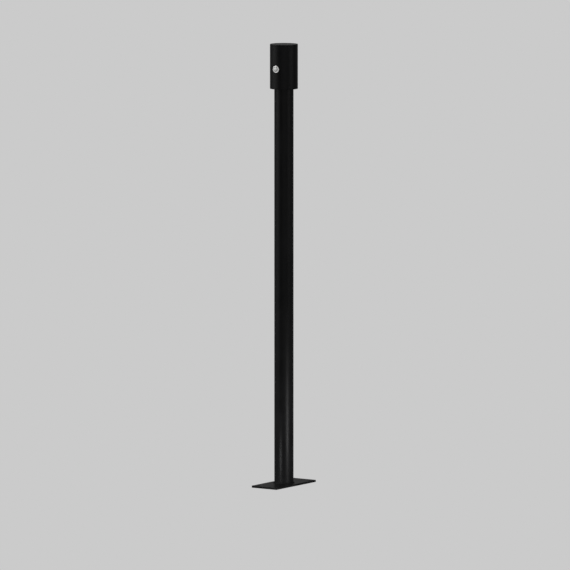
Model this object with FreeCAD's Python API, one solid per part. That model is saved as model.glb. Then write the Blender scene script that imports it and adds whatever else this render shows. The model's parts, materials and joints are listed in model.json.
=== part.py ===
"""Push-button street post: a tubular steel post on a floor plate, with a round head for a push-button.

Frame: +Z up, origin at the centre of the floor plate's underside, the button faces -Y, all in millimetres.
The head is a stack that comes apart on a bench. A collar is locked on the top of the post, with a disc in it
that carries the cable bush, and the head tube stands on the collar's flange. Two screws pull the cap down onto
the tube, against two hexagon pillars. The button is fixed in the head tube's front wall, and its switch,
terminals and earth point are in the head.
"""

import FreeCAD
import Part
import math
import os
from FreeCAD import Vector

# Driving dimensions
TOTAL_HEIGHT = 1113.0
PLATE_WIDTH = 75.0          # across, along X
PLATE_LENGTH = 178.0        # front to back, along Y
PLATE_THICKNESS = 5.0
POST_OD = 48.3              # standard 1 1/2 inch pipe
POST_WALL = 2.6
HEAD_OD = 70.0
HEAD_WALL = 3.0
HEAD_HEIGHT = 112.0
BUTTON_DROP = 61.2          # from the top of the head down to the button's axis
BUTTON_FLANGE_OD = 18.0
BUTTON_PROUD = 1.6          # flange's face in front of the head's wall
BUTTON_TRAVEL = 2.4
GAP = 0.05                  # radial clearance of a located fit

# Heights that follow from them
POST_R = POST_OD / 2
POST_BORE_R = POST_R - POST_WALL
HEAD_R = HEAD_OD / 2
HEAD_BORE_R = HEAD_R - HEAD_WALL
HEAD_Z = TOTAL_HEIGHT - HEAD_HEIGHT
BUTTON_Z = TOTAL_HEIGHT - BUTTON_DROP

# Floor plate
PLATE_CORNER_R = 1.0
PLATE_EDGE = 0.6
ANCHOR_HOLE_R = 4.5         # for M8 anchors
ANCHOR_SPACING_X = 51.0
ANCHOR_SPACING_Y = 150.0
CABLE_HOLE_R = 16.0
ENTRY_BORE_R = 11.0
GROMMET_FLANGE_R = 19.5
GROMMET_FLANGE_T = 2.0
WELD_LEG = 3.0

# Collar, head tube and cap
FLANGE_T = 3.0
SPIGOT_R = HEAD_BORE_R - 0.1
COLLAR_TOP_Z = HEAD_Z + 21.0
DISC_T = 5.0
DISC_BORE_R = 12.0
BUSH_FLANGE_R = 15.0
BUSH_FLANGE_T = 2.2
DUCT_BORE_R = 6.5
POST_TOP_Z = COLLAR_TOP_Z - DISC_T
TUBE_BOTTOM_Z = HEAD_Z + FLANGE_T
CAP_T = 4.0
CAP_Z = TOTAL_HEIGHT - CAP_T
LID_SPIGOT_H = 8.0
LID_SPIGOT_BORE_R = 24.0
SEAM = 0.3                  # chamfer that leaves a fine groove at each joint of the head
HEAD_EDGE = 0.6             # chamfer round the head's top and bottom edges
LEAD_IN = 0.6               # chamfer at the end of each spigot
O_RING_SECTION = 1.78
GROOVE_W = 2.2
GROOVE_DEPTH = 1.75
SET_SCREW_R = 2.5
SET_SCREW_LENGTH = 6.0
SET_SCREW_SOCKET_DEPTH = 2.5
SOCKET_FLATS = 2.5
SET_SCREW_ANGLES = (90.0, 210.0, 330.0)
SET_SCREW_Z = HEAD_Z + 11.5
PILLAR_X = 27.0
PILLAR_FLATS = 7.0
PILLAR_TAP = 11.0
M4_R = 2.0
M3_R = 1.5
M3_CLEAR_R = 1.6
M4_CLEAR_R = 2.15
STUD_LENGTH = 8.0
CAP_SCREW_LENGTH = 20.0
CAP_SCREW_SOCKET_DEPTH = 1.9
COUNTERSINK_R = 4.0
SCREW_SINK = 0.15           # screw heads below the cap's face

# Terminal bracket and what it carries
SHEET_T = 1.5
BRACKET_Y = 17.6            # front face of the upright leg
BRACKET_HALF_W = 19.0
BRACKET_TOP_Z = COLLAR_TOP_Z + 76.0
FOOT_HALF_W = 11.5
FOOT_BACK_Y = 29.2
FOOT_SCREW_X = 8.0
FOOT_SCREW_Y = 25.6
FOOT_SCREW_LENGTH = 8.0
BLOCK_DEPTH = 14.0
BLOCK_HEIGHT = 20.0
BLOCK_Z = HEAD_Z + 69.0
POLE_PITCH = 8.5
POLES = 4
WIRE_HOLE_R = 1.6
CLAMP_Z = HEAD_Z + 34.0
CABLE_R = 4.0
CLAMP_EAR_X = 8.3
CLAMP_EAR_END = 3.2         # from its screw to the end of the ear
CLAMP_SHEET_T = 1.2
CLAMP_WIDTH = 9.0
EARTH_X = 14.0
EARTH_Z = HEAD_Z + 42.0
EARTH_NUT_FLATS = 7.0
EARTH_NUT_T = 3.2
LUG_T = 0.8
LEAD_R = 0.9
SLEEVE_R = 1.5
EARTH_LEAD_R = 1.2

# Button, measured outwards from the head's axis
SEAT = 33.7                 # spot-faced flat in the head's wall
GASKET_T = 0.5
FLANGE_BACK = SEAT + GASKET_T
FLANGE_FACE = HEAD_R + BUTTON_PROUD
SEAT_R = 9.5
PANEL_HOLE_R = 8.1
THREAD_R = 7.95
THREAD_DEPTH = 0.5
THREAD_PITCH = 1.0
BARREL_BACK = 14.2
BARREL_BORE_R = 6.3
SHOULDER_FRONT = 28.0
SHOULDER_BACK = 25.0
STEM_R = 2.5
STEM_NECK_R = 1.5
STEM_TIP_R = 1.9
STEM_HEAD_R = 3.5
STEM_HOLE_R = 2.58
CAP_SKIRT_R = 6.22
CAP_SKIRT_BORE_R = 4.9
CAP_SKIRT_BACK = SHOULDER_FRONT + BUTTON_TRAVEL + 0.1
CAP_EDGE = FLANGE_FACE - 0.2
CAP_CROWN = CAP_EDGE + 0.6
CAP_ROOF = 35.0
STEM_HEAD_T = 1.2
CLIP_BACK = 24.15
CLIP_T = 0.8
CLIP_GROOVE = 0.4
CLIP_OUTER_R = 4.4
SWITCH_FRONT = 21.4
SWITCH_R = 7.6
SWITCH_CAVITY_R = 6.4
SWITCH_WALL = 2.0
BRIDGE_SEAT = 9.0
BRIDGE_T = 0.6
CONTACT_X = 4.2
CONTACT_T = 0.4
STRIP_T = 0.8
STRIP_W = 2.0
RIVET_R = 1.2
PIN_R = 0.4
BRIDGE_W = 3.4
BRIDGE_POINT_R = 1.0
PIN_X = 5.2
PIN_LENGTH = 5.0
SADDLE_R = 10.8
SADDLE_BACK = 28.6
WASHER_R = 10.6
WASHER_T = 0.8
WASHER_TEETH = 12
NUT_FLATS = 19.0
NUT_T = 3.0
SPRING_WIRE_R = 0.35
SPRING_COIL_R = 4.2
SPRING_TURNS = 5.0
SPRING_SIDES = 12

ORIGIN = Vector(0, 0, 0)
UP = Vector(0, 0, 1)
RIGHT = Vector(1, 0, 0)
BACK = Vector(0, 1, 0)


def export(name, *solids):
    """Write the solids of one sub-part to one STEP file, and report what was written."""
    for solid in solids:
        if not solid.isValid():
            raise ValueError(name + " has an invalid solid")
    shape = solids[0] if len(solids) == 1 else Part.makeCompound(list(solids))
    shape.exportStep("parts/" + name + ".step")
    print(f"{name}: {len(solids)} solid(s), {shape.Volume:.1f} mm3")


def turned(points):
    """Solid turned about Z from its half section, a list of (radius, height) corners."""
    corners = [Vector(r, 0, h) for r, h in points]
    outline = Part.makePolygon(corners + [corners[0]])
    return Part.Face(outline).revolve(ORIGIN, UP, 360)


def ring(outer_r, inner_r, bottom, top):
    """Plain ring about Z."""
    return turned([(inner_r, bottom), (outer_r, bottom), (outer_r, top), (inner_r, top)])


def rod(radius, start, end):
    """Round rod between two points."""
    way = end - start
    return Part.makeCylinder(radius, way.Length, start, way)


def block(x, y, z):
    """Box from three (low, high) pairs."""
    return Part.makeBox(x[1] - x[0], y[1] - y[0], z[1] - z[0], Vector(x[0], y[0], z[0]))


def hexagon(flats, bottom, top, turn=0.0):
    """Hexagonal prism about Z, of the given width across flats."""
    radius = flats / math.sqrt(3)
    corners = []
    for i in range(7):
        angle = math.radians(60 * i + turn)
        corners.append(Vector(radius * math.cos(angle), radius * math.sin(angle), bottom))
    return Part.Face(Part.makePolygon(corners)).extrude(Vector(0, 0, top - bottom))


def torus(coil_r, section_r, height):
    """Ring of round section about Z, as an O-ring is."""
    return Part.makeTorus(coil_r, section_r, Vector(0, 0, height), UP)


def moved(shape, x=0.0, y=0.0, z=0.0):
    """Copy of a shape, shifted."""
    copy = shape.copy()
    copy.translate(Vector(x, y, z))
    return copy


def aimed(shape, axis, angle):
    """Copy of a shape, turned about an axis through the origin."""
    copy = shape.copy()
    copy.rotate(ORIGIN, axis, angle)
    return copy


def on_button_axis(shape):
    """Lay a shape made about Z, with height as distance from the head's axis, along the button's axis."""
    return moved(aimed(shape, RIGHT, 90), z=BUTTON_Z)


def facing_front(shape, x, y, z):
    """Turn a fastener made head up about Z to face the front, with its head's underside at (x, y, z)."""
    return moved(aimed(shape, RIGHT, 90), x, y, z)


def pan_screw(shank_r, length):
    """Slotted pan-head screw about Z, head up, with the underside of its head at zero."""
    head_r = 1.9 * shank_r
    head_t = 1.2 * shank_r
    edge = 0.35 * head_t
    screw = turned([
        (0, -length), (shank_r - 0.3, -length), (shank_r, -length + 0.3), (shank_r, 0), (head_r, 0),
        (head_r, head_t - edge), (head_r - edge, head_t), (0, head_t),
    ])
    slot = block((-head_r, head_r), (-0.2 * shank_r, 0.2 * shank_r), (0.5 * head_t, head_t + 1))
    return screw.cut(slot)


def routed_tube(points, radius):
    """Round lead along straight runs joined by tangent arcs, each as large as its two runs allow."""
    edges = []
    start = points[0]
    for before, corner, after in zip(points, points[1:], points[2:]):
        way_in = (corner - before).normalize()
        way_out = (after - corner).normalize()
        turn = way_in.getAngle(way_out)
        run = min((corner - before).Length, (after - corner).Length)
        bend_r = 0.45 * run / math.tan(turn / 2)
        setback = bend_r * math.tan(turn / 2)
        arc_start = corner - way_in * setback
        arc_end = corner + way_out * setback
        inward = (way_out - way_in).normalize()
        middle = corner + inward * (bend_r / math.cos(turn / 2) - bend_r)
        edges.append(Part.LineSegment(start, arc_start).toShape())
        edges.append(Part.Arc(arc_start, middle, arc_end).toShape())
        start = arc_end
        print(f"  bend of radius {bend_r:.1f} mm in a lead of {2 * radius:.1f} mm")
    edges.append(Part.LineSegment(start, points[-1]).toShape())
    path = Part.Wire(edges)
    section = Part.Wire(Part.makeCircle(radius, points[0], (points[1] - points[0]).normalize()))
    tube = path.makePipeShell([section], True, False)
    expected = math.pi * radius ** 2 * path.Length
    print(f"  length {path.Length:.1f} mm, volume {tube.Volume / expected:.4f} of section times length")
    return tube


# ---- Floor plate and post ----

def anchor_positions():
    """Centres of the four anchor holes."""
    return [(x * ANCHOR_SPACING_X / 2, y * ANCHOR_SPACING_Y / 2) for x in (-1, 1) for y in (-1, 1)]


def base_plate():
    """Flat plate with four anchor holes and a cable hole under the post."""
    plate = block(
        (-PLATE_WIDTH / 2, PLATE_WIDTH / 2), (-PLATE_LENGTH / 2, PLATE_LENGTH / 2), (0, PLATE_THICKNESS)
    )
    uprights = [e for e in plate.Edges if abs(e.Vertexes[0].Z - e.Vertexes[1].Z) > 1]
    plate = plate.makeFillet(PLATE_CORNER_R, uprights)
    rim = [e for e in plate.Edges if all(v.Z > PLATE_THICKNESS - 0.01 for v in e.Vertexes)]
    plate = plate.makeChamfer(PLATE_EDGE, rim)
    for x, y in anchor_positions():
        plate = plate.cut(Part.makeCylinder(ANCHOR_HOLE_R, PLATE_THICKNESS, Vector(x, y, 0)))
    return plate.cut(Part.makeCylinder(CABLE_HOLE_R, PLATE_THICKNESS))


def base_weld():
    """Fillet weld all round the foot of the post."""
    return turned([
        (POST_R, PLATE_THICKNESS), (POST_R + WELD_LEG, PLATE_THICKNESS), (POST_R, PLATE_THICKNESS + WELD_LEG)
    ])


def post_tube():
    """Round tube from the plate up into the collar."""
    edge = 0.4
    return turned([
        (POST_BORE_R, PLATE_THICKNESS), (POST_R, PLATE_THICKNESS), (POST_R, POST_TOP_Z - edge),
        (POST_R - edge, POST_TOP_Z), (POST_BORE_R, POST_TOP_Z),
    ])


def cable_grommet():
    """Rubber bush in the plate's cable hole, with its flange inside the post."""
    flange_top = PLATE_THICKNESS + GROMMET_FLANGE_T
    return turned([
        (ENTRY_BORE_R, 0.3), (CABLE_HOLE_R - GAP, 0.3), (CABLE_HOLE_R - GAP, PLATE_THICKNESS),
        (GROMMET_FLANGE_R, PLATE_THICKNESS), (GROMMET_FLANGE_R, flange_top - 0.8),
        (GROMMET_FLANGE_R - 0.8, flange_top), (ENTRY_BORE_R, flange_top),
    ])


# ---- Head ----

def grooved_wall(radius, groove_middle, low, high):
    """Points up the outside of a spigot, with an O-ring groove in it."""
    floor = radius - GROOVE_DEPTH
    groove_low = groove_middle - GROOVE_W / 2
    groove_high = groove_middle + GROOVE_W / 2
    return [
        (radius, low), (radius, groove_low), (floor, groove_low), (floor, groove_high), (radius, groove_high),
        (radius, high),
    ]


COLLAR_GROOVE_Z = TUBE_BOTTOM_Z + 4.2
CAP_GROOVE_Z = CAP_Z - 4.0
O_RING_COIL_R = HEAD_BORE_R - O_RING_SECTION / 2 - 0.02


def head_collar():
    """Ring that sits on the top of the post, with a flange that the head tube stands on."""
    collar = turned([
        (POST_R + GAP, HEAD_Z), (HEAD_R - HEAD_EDGE, HEAD_Z), (HEAD_R, HEAD_Z + HEAD_EDGE),
        (HEAD_R, TUBE_BOTTOM_Z - SEAM), (HEAD_R - SEAM, TUBE_BOTTOM_Z),
        *grooved_wall(SPIGOT_R, COLLAR_GROOVE_Z, TUBE_BOTTOM_Z, COLLAR_TOP_Z - LEAD_IN),
        (SPIGOT_R - LEAD_IN, COLLAR_TOP_Z), (POST_R + GAP, COLLAR_TOP_Z),
    ])
    for angle in SET_SCREW_ANGLES:
        hole = rod(SET_SCREW_R + GAP, Vector(POST_R - 1, 0, SET_SCREW_Z), Vector(HEAD_R, 0, SET_SCREW_Z))
        collar = collar.cut(aimed(hole, UP, angle))
    stud_depth = STUD_LENGTH + 1
    for x in (-PILLAR_X, PILLAR_X):
        low = Vector(x, 0, COLLAR_TOP_Z - stud_depth)
        collar = collar.cut(rod(M4_R + GAP, low, Vector(x, 0, COLLAR_TOP_Z)))
    for x in (-FOOT_SCREW_X, FOOT_SCREW_X):
        low = Vector(x, FOOT_SCREW_Y, COLLAR_TOP_Z - FOOT_SCREW_LENGTH)
        collar = collar.cut(rod(M3_R + GAP, low, Vector(x, FOOT_SCREW_Y, COLLAR_TOP_Z)))
    return collar


def top_disc():
    """Disc in the collar's bore that rests on the top of the post and carries the upper cable bush."""
    return ring(POST_R, DISC_BORE_R, POST_TOP_Z, COLLAR_TOP_Z)


def set_screws():
    """Socket set screws that lock the collar on the post."""
    start = POST_R + 0.02
    end = start + SET_SCREW_LENGTH
    cone = 0.8
    body = turned([
        (0, start), (SET_SCREW_R - cone, start), (SET_SCREW_R, start + cone), (SET_SCREW_R, end), (0, end)
    ])
    body = body.cut(hexagon(SOCKET_FLATS, end - SET_SCREW_SOCKET_DEPTH, end + 1))
    radial = moved(aimed(body, BACK, 90), z=SET_SCREW_Z)
    return [aimed(radial, UP, angle) for angle in SET_SCREW_ANGLES]


def head_o_ring(height):
    """O-ring in a spigot's groove, against the head tube's bore."""
    return torus(O_RING_COIL_R, O_RING_SECTION / 2, height)


def head_grommet():
    """Rubber bush in the top disc, where the supply cable comes up into the head."""
    low = POST_TOP_Z - BUSH_FLANGE_T
    high = COLLAR_TOP_Z + BUSH_FLANGE_T
    edge = 0.6
    return turned([
        (DUCT_BORE_R, low), (BUSH_FLANGE_R - edge, low), (BUSH_FLANGE_R, low + edge),
        (BUSH_FLANGE_R, POST_TOP_Z),
        (DISC_BORE_R - GAP, POST_TOP_Z), (DISC_BORE_R - GAP, COLLAR_TOP_Z), (BUSH_FLANGE_R, COLLAR_TOP_Z),
        (BUSH_FLANGE_R, high - edge), (BUSH_FLANGE_R - edge, high), (DUCT_BORE_R, high),
    ])


def head_tube():
    """Round tube of the head, spot-faced and bored through its front wall for the button."""
    tube = turned([
        (HEAD_BORE_R, TUBE_BOTTOM_Z), (HEAD_R - SEAM, TUBE_BOTTOM_Z), (HEAD_R, TUBE_BOTTOM_Z + SEAM),
        (HEAD_R, CAP_Z - SEAM), (HEAD_R - SEAM, CAP_Z), (HEAD_BORE_R, CAP_Z),
    ])
    spot_face = Part.makeCylinder(SEAT_R, 10, Vector(0, 0, SEAT))
    hole = Part.makeCylinder(PANEL_HOLE_R, 12, Vector(0, 0, HEAD_BORE_R - 6))
    return tube.cut(on_button_axis(spot_face)).cut(on_button_axis(hole))


def head_cap():
    """Flat lid with a spigot that fits down into the head tube."""
    low = CAP_Z - LID_SPIGOT_H
    cap = turned([
        (0, CAP_Z), (LID_SPIGOT_BORE_R, CAP_Z), (LID_SPIGOT_BORE_R, low), (SPIGOT_R - LEAD_IN, low),
        *grooved_wall(SPIGOT_R, CAP_GROOVE_Z, low + LEAD_IN, CAP_Z),
        (HEAD_R - SEAM, CAP_Z), (HEAD_R, CAP_Z + SEAM), (HEAD_R, TOTAL_HEIGHT - HEAD_EDGE),
        (HEAD_R - HEAD_EDGE, TOTAL_HEIGHT), (0, TOTAL_HEIGHT),
    ])
    for x in (-PILLAR_X, PILLAR_X):
        cap = cap.cut(Part.makeCylinder(M4_CLEAR_R, CAP_T + LID_SPIGOT_H, Vector(x, 0, low)))
        sink_r = COUNTERSINK_R + SCREW_SINK
        sink = Part.makeCone(0, sink_r, sink_r, Vector(x, 0, TOTAL_HEIGHT - sink_r))
        cap = cap.cut(sink)
    return cap


def tie_pillars():
    """Hexagon pillars, studded into the collar and tapped for the cap screws."""
    high = CAP_Z - LID_SPIGOT_H
    pillar = hexagon(PILLAR_FLATS, COLLAR_TOP_Z, high, 30)
    pillar = pillar.fuse(Part.makeCylinder(M4_R, STUD_LENGTH, Vector(0, 0, COLLAR_TOP_Z - STUD_LENGTH)))
    pillar = pillar.cut(Part.makeCylinder(M4_R + GAP, PILLAR_TAP, Vector(0, 0, high - PILLAR_TAP)))
    return [moved(pillar, x) for x in (-PILLAR_X, PILLAR_X)]


def cap_screws():
    """Countersunk screws with a hexagon socket and a security pin."""
    top = TOTAL_HEIGHT - SCREW_SINK
    low = TOTAL_HEIGHT - CAP_SCREW_LENGTH
    cone_bottom = top - (COUNTERSINK_R - M4_R)
    socket_floor = top - CAP_SCREW_SOCKET_DEPTH
    tip = 0.4
    rim = 0.15
    screw = turned([
        (0, low), (M4_R - tip, low), (M4_R, low + tip), (M4_R, cone_bottom), (COUNTERSINK_R - rim, top - rim),
        (COUNTERSINK_R - rim, top), (0, top),
    ])
    screw = screw.cut(hexagon(SOCKET_FLATS, socket_floor, top + 1))
    pin = Part.makeCylinder(0.5, CAP_SCREW_SOCKET_DEPTH - 0.2, Vector(0, 0, socket_floor - 0.1))
    screw = screw.fuse(pin)
    return [moved(screw, x) for x in (-PILLAR_X, PILLAR_X)]


# ---- Terminal bracket and what it carries ----

def terminal_bracket():
    """Bent sheet bracket, screwed to the collar, for the terminals, the cable clamp and the earth point."""
    leg_y = (BRACKET_Y, BRACKET_Y + SHEET_T)
    foot_z = (COLLAR_TOP_Z, COLLAR_TOP_Z + SHEET_T)
    leg = block((-BRACKET_HALF_W, BRACKET_HALF_W), leg_y, (COLLAR_TOP_Z, BRACKET_TOP_Z))
    foot = block((-FOOT_HALF_W, FOOT_HALF_W), (BRACKET_Y, FOOT_BACK_Y), foot_z)
    bracket = leg.fuse(foot).removeSplitter()
    for x in (-FOOT_SCREW_X, FOOT_SCREW_X):
        low = Vector(x, FOOT_SCREW_Y, foot_z[0] - 1)
        bracket = bracket.cut(rod(M3_CLEAR_R, low, Vector(x, FOOT_SCREW_Y, foot_z[1] + 1)))
    for x, z, radius in bracket_holes():
        hole = rod(radius, Vector(x, BRACKET_Y - 1, z), Vector(x, BRACKET_Y + SHEET_T + 1, z))
        bracket = bracket.cut(hole)
    return bracket


def bracket_holes():
    """Centres and radii of the holes in the bracket's upright leg."""
    holes = [(x, BLOCK_MIDDLE_Z, M3_R + GAP) for x in (-POLE_PITCH, POLE_PITCH)]
    holes += [(x, CLAMP_Z, M3_R + GAP) for x in (-CLAMP_EAR_X, CLAMP_EAR_X)]
    holes += [(EARTH_X, EARTH_Z, M4_CLEAR_R)]
    return holes


def bracket_screws():
    """Pan-head screws that hold the bracket's foot down on the collar."""
    screw = pan_screw(M3_R, FOOT_SCREW_LENGTH)
    return [moved(screw, x, FOOT_SCREW_Y, COLLAR_TOP_Z + SHEET_T) for x in (-FOOT_SCREW_X, FOOT_SCREW_X)]


def pole_positions():
    """X of each terminal."""
    return [(i - (POLES - 1) / 2) * POLE_PITCH for i in range(POLES)]


BLOCK_MIDDLE_Y = BRACKET_Y - BLOCK_DEPTH / 2
BLOCK_FRONT_Y = BRACKET_Y - BLOCK_DEPTH
BLOCK_TOP_Z = BLOCK_Z + BLOCK_HEIGHT
BLOCK_MIDDLE_Z = BLOCK_Z + BLOCK_HEIGHT / 2
CLAMP_BAR_HALF = 2.6
CLAMP_BAR_ENDS = (BLOCK_Z + 3.0, BLOCK_TOP_Z - 3.0)
TERMINAL_SCREW_ZS = (BLOCK_Z + 6.5, BLOCK_TOP_Z - 6.5)
CLAMP_SCREW_R = 1.25
CLAMP_SCREW_HEAD_R = 1.8
CLAMP_SCREW_DEPTH = 1.75    # underside of the head behind the block's face
FIXING_SINK = 3.0           # counterbore for the block's own screws
FIXING_SINK_R = 3.0


def terminal_block():
    """Moulded terminal strip: wires come in from above and below, and its clamp screws face the front."""
    half_w = POLES * POLE_PITCH / 2 + 0.5
    half = CLAMP_BAR_HALF + GAP
    before = BLOCK_FRONT_Y - 1
    room_y = (BLOCK_MIDDLE_Y - half, BLOCK_MIDDLE_Y + half)
    room_z = (CLAMP_BAR_ENDS[0] - GAP, CLAMP_BAR_ENDS[1] + GAP)
    body = block((-half_w, half_w), (BLOCK_FRONT_Y, BRACKET_Y), (BLOCK_Z, BLOCK_TOP_Z))
    for x in pole_positions():
        way_in = Vector(x, BLOCK_MIDDLE_Y, BLOCK_Z - 1)
        body = body.cut(rod(WIRE_HOLE_R + 0.1, way_in, Vector(x, BLOCK_MIDDLE_Y, BLOCK_TOP_Z + 1)))
        body = body.cut(block((x - half, x + half), room_y, room_z))
        for z in TERMINAL_SCREW_ZS:
            body = body.cut(rod(CLAMP_SCREW_HEAD_R + 0.3, Vector(x, before, z), Vector(x, BLOCK_MIDDLE_Y, z)))
    for x in (-POLE_PITCH, POLE_PITCH):
        start = Vector(x, before, BLOCK_MIDDLE_Z)
        body = body.cut(rod(M3_CLEAR_R, start, Vector(x, BRACKET_Y + 1, BLOCK_MIDDLE_Z)))
        body = body.cut(rod(FIXING_SINK_R, start, Vector(x, BLOCK_FRONT_Y + FIXING_SINK, BLOCK_MIDDLE_Z)))
    return body


def terminal_clamps():
    """Brass bars inside the terminal block, each with a wire hole and two tapped holes."""
    clamps = []
    bar_y = (BLOCK_MIDDLE_Y - CLAMP_BAR_HALF, BLOCK_MIDDLE_Y + CLAMP_BAR_HALF)
    for x in pole_positions():
        bar = block((x - CLAMP_BAR_HALF, x + CLAMP_BAR_HALF), bar_y, CLAMP_BAR_ENDS)
        way_in = Vector(x, BLOCK_MIDDLE_Y, BLOCK_Z)
        bar = bar.cut(rod(WIRE_HOLE_R, way_in, Vector(x, BLOCK_MIDDLE_Y, BLOCK_TOP_Z)))
        for z in TERMINAL_SCREW_ZS:
            tap = rod(CLAMP_SCREW_R + GAP, Vector(x, BLOCK_FRONT_Y, z), Vector(x, BLOCK_MIDDLE_Y, z))
            bar = bar.cut(tap)
        clamps.append(bar)
    return clamps


def terminal_screws():
    """Slotted clamp screws, two to a terminal."""
    length = 3.5
    head_t = 1.2
    edge = 0.3
    screw = turned([
        (0, -length), (CLAMP_SCREW_R, -length), (CLAMP_SCREW_R, 0), (CLAMP_SCREW_HEAD_R, 0),
        (CLAMP_SCREW_HEAD_R, head_t - edge), (CLAMP_SCREW_HEAD_R - edge, head_t), (0, head_t),
    ])
    screw = screw.cut(block((-CLAMP_SCREW_HEAD_R, CLAMP_SCREW_HEAD_R), (-0.3, 0.3), (head_t / 2, head_t + 1)))
    y = BLOCK_FRONT_Y + CLAMP_SCREW_DEPTH
    return [facing_front(screw, x, y, z) for x in pole_positions() for z in TERMINAL_SCREW_ZS]


def block_screws():
    """Pan-head screws that hold the terminal block on the bracket."""
    screw = pan_screw(M3_R, BLOCK_DEPTH + 1)
    y = BLOCK_FRONT_Y + FIXING_SINK
    return [facing_front(screw, x, y, BLOCK_MIDDLE_Z) for x in (-POLE_PITCH, POLE_PITCH)]


def cable_clamp():
    """Pressed saddle that grips the supply cable against the bracket."""
    middle_y = BRACKET_Y - CABLE_R
    width = (CLAMP_Z - CLAMP_WIDTH / 2, CLAMP_Z + CLAMP_WIDTH / 2)
    outer_r = CABLE_R + CLAMP_SHEET_T
    arch = ring(outer_r, CABLE_R, *width)
    arch = arch.cut(block((-outer_r, outer_r), (0, outer_r), width))
    arch = moved(arch, y=middle_y)
    for side in (-1, 1):
        outer = side * outer_r
        ear_end = side * (CLAMP_EAR_X + CLAMP_EAR_END)
        leg = block(sorted((side * CABLE_R, outer)), (middle_y, BRACKET_Y), width)
        ear = block(sorted((outer, ear_end)), (BRACKET_Y - CLAMP_SHEET_T, BRACKET_Y), width)
        arch = arch.fuse(leg).fuse(ear)
    arch = arch.removeSplitter()
    for x in (-CLAMP_EAR_X, CLAMP_EAR_X):
        arch = arch.cut(rod(M3_CLEAR_R, Vector(x, BRACKET_Y - 5, CLAMP_Z), Vector(x, BRACKET_Y + 1, CLAMP_Z)))
    return arch


def clamp_screws():
    """Pan-head screws of the cable clamp."""
    screw = pan_screw(M3_R, 5)
    y = BRACKET_Y - CLAMP_SHEET_T
    return [facing_front(screw, x, y, CLAMP_Z) for x in (-CLAMP_EAR_X, CLAMP_EAR_X)]


LUG_EYE_R = 4.0
LUG_TONGUE_W = 3.2
LUG_BARREL_R = 1.8
LUG_BARREL_ENDS = (EARTH_Z + 5.5, EARTH_Z + 10.5)
LUG_BARREL_Y = BRACKET_Y - 2.0


def earth_lug():
    """Ring terminal under the earth screw, with its crimped barrel pointing up."""
    eye = rod(LUG_EYE_R, Vector(EARTH_X, BRACKET_Y - LUG_T, EARTH_Z), Vector(EARTH_X, BRACKET_Y, EARTH_Z))
    tongue_x = (EARTH_X - LUG_TONGUE_W / 2, EARTH_X + LUG_TONGUE_W / 2)
    tongue = block(tongue_x, (BRACKET_Y - LUG_T, BRACKET_Y), (EARTH_Z, LUG_BARREL_ENDS[0] + 1.5))
    barrel = rod(LUG_BARREL_R, Vector(EARTH_X, LUG_BARREL_Y, LUG_BARREL_ENDS[0]),
                 Vector(EARTH_X, LUG_BARREL_Y, LUG_BARREL_ENDS[1]))
    lug = eye.fuse(tongue).fuse(barrel).removeSplitter()
    lug = lug.cut(rod(M4_CLEAR_R, Vector(EARTH_X, 0, EARTH_Z), Vector(EARTH_X, 30, EARTH_Z)))
    socket_floor = Vector(EARTH_X, LUG_BARREL_Y, LUG_BARREL_ENDS[0] + 1)
    mouth = Vector(EARTH_X, LUG_BARREL_Y, LUG_BARREL_ENDS[1] + 1)
    return lug.cut(rod(EARTH_LEAD_R + GAP, socket_floor, mouth))


def earth_screw():
    """Pan-head screw of the earth point."""
    return facing_front(pan_screw(M4_R, 7), EARTH_X, BRACKET_Y - LUG_T, EARTH_Z)


def earth_nut():
    """Nut behind the bracket, on the earth screw."""
    nut = hexagon(EARTH_NUT_FLATS, 0, EARTH_NUT_T).cut(Part.makeCylinder(M4_R + GAP, EARTH_NUT_T))
    return facing_front(nut, EARTH_X, BRACKET_Y + SHEET_T + EARTH_NUT_T, EARTH_Z)


def earth_lead():
    """Lead from the ring terminal up into the last terminal."""
    x_end = pole_positions()[-1]
    floor = Vector(EARTH_X, LUG_BARREL_Y, LUG_BARREL_ENDS[0] + 1 + GAP)
    return routed_tube([
        floor,
        Vector(EARTH_X, LUG_BARREL_Y, LUG_BARREL_ENDS[1] + 3.5),
        Vector(x_end + 0.3, BLOCK_MIDDLE_Y + 0.8, BLOCK_Z - 6.0),
        Vector(x_end, BLOCK_MIDDLE_Y, BLOCK_Z + 5.0),
    ], EARTH_LEAD_R)


# ---- Button, made about Z with height as distance from the head's axis ----

O_RING_OUT = 32.6
CAP_SPIGOT_R = 1.5
CAP_SPIGOT_LENGTH = 0.9
BUTTON_O_RING_SECTION_R = 0.4
BUTTON_O_RING_R = CAP_SKIRT_R + 0.02 + BUTTON_O_RING_SECTION_R


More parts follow.
